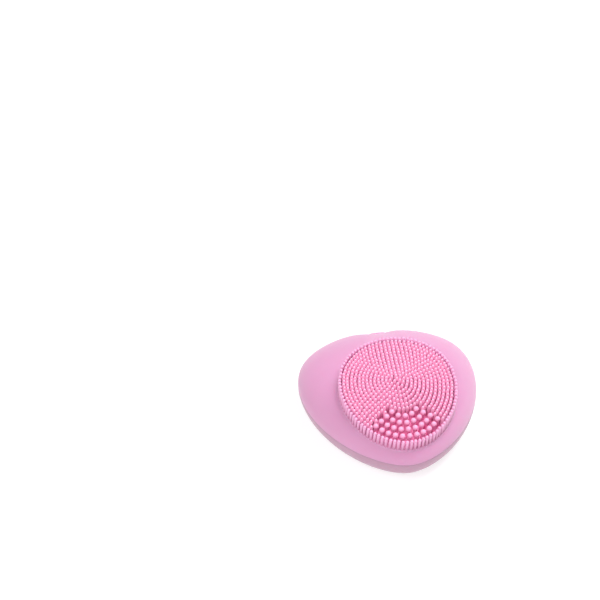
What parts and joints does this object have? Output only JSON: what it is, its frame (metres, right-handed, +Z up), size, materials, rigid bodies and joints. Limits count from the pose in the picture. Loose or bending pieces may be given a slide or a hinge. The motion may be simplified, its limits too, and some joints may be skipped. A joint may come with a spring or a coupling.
{
  "type": "facial cleansing brush",
  "caption": "Palm-size electric silicone facial cleansing brush in a soft heart outline, with a sloping pad of fine and thick bristles, a power key and a closed charging port.",
  "frame": {"origin": "under the middle of the body, on the flat of the back cover", "axes": "+Z up out of the back and through the bristles, -Y toward the rounded tip, +Y toward the lobes and the power key"},
  "size_m": [0.0802, 0.0841, 0.0382],
  "materials": {
    "cover_silicone": "satin pink silicone",
    "back_silicone": "satin mauve pink silicone",
    "bristle_silicone": "satin pink silicone",
    "shell_plastic": "moulded ABS",
    "clear_plastic": "milky translucent",
    "black_rubber": "matte",
    "screw_steel": "plated",
    "weight_brass": "turned",
    "board_laminate": "solder mask",
    "chip_plastic": "moulded epoxy",
    "cell_foil": "laminated foil",
    "red_wire": "PVC insulation",
    "black_wire": "PVC insulation"
  },
  "bodies": {
    "casing": {"upper_cover": "cover_silicone", "lower_cover": "back_silicone", "fine_bristle_field": "bristle_silicone", "touch_bristles": "bristle_silicone", "upper_shell": "shell_plastic", "lower_shell": "shell_plastic", "seal_ring": "black_rubber", "shell_screw_1": "screw_steel", "shell_screw_2": "screw_steel", "shell_screw_3": "screw_steel", "shell_screw_4": "screw_steel", "shell_screw_5": "screw_steel", "key_board": "board_laminate", "tact_switch": "chip_plastic", "indicator_led": "clear_plastic", "light_pipe": "clear_plastic", "key_screw_left": "screw_steel", "key_screw_right": "screw_steel", "circuit_board": "board_laminate", "controller_chip": "chip_plastic", "charge_chip": "chip_plastic", "drive_transistor": "chip_plastic", "charge_coil": "chip_plastic", "board_screw_left": "screw_steel", "board_screw_right": "screw_steel", "cell_connector": "shell_plastic", "motor_connector": "shell_plastic", "key_connector": "shell_plastic", "charging_inlet": "screw_steel", "inlet_tongue": "chip_plastic", "cell": "cell_foil", "cell_foam": "black_rubber", "cell_lead_red": "red_wire", "cell_lead_black": "black_wire", "motor_can": "screw_steel", "motor_end_cap": "shell_plastic", "motor_sleeve": "black_rubber", "motor_cradle": "shell_plastic", "motor_clamp": "shell_plastic", "clamp_screw_front": "screw_steel", "clamp_screw_back": "screw_steel", "motor_lead_red": "red_wire", "motor_lead_black": "black_wire", "key_lead_red": "red_wire", "key_lead_black": "black_wire"},
    "key": {"power_key": "back_silicone"},
    "plunger": {"switch_plunger": "shell_plastic"},
    "plug": {"port_plug": "back_silicone"},
    "rotor": {"motor_rotor": "screw_steel", "eccentric_weight": "weight_brass"}
  },
  "joints": [
    {"name": "key_press", "type": "slide", "parent": "casing", "child": "key", "axis": [0, -0.682, -0.7314], "range_m": [0, 0.0005], "stiffness_N_per_m": 1500, "springref_m": -0.0002},
    {"name": "plunger_press", "type": "slide", "parent": "casing", "child": "plunger", "axis": [0, -0.682, -0.7314], "range_m": [0, 0.0005]},
    {"name": "plug_pull", "type": "slide", "parent": "casing", "child": "plug", "axis": [0, 1, 0], "range_m": [0, 0.004]},
    {"name": "rotor_spin", "type": "hinge", "parent": "casing", "child": "rotor", "pos_m": [0, -0.02, 0.0116], "axis": [1, 0, 0], "continuous": true}
  ],
  "couplings": [
    {"joint": "plunger_press", "follows": "key_press", "ratio": 1}
  ]
}
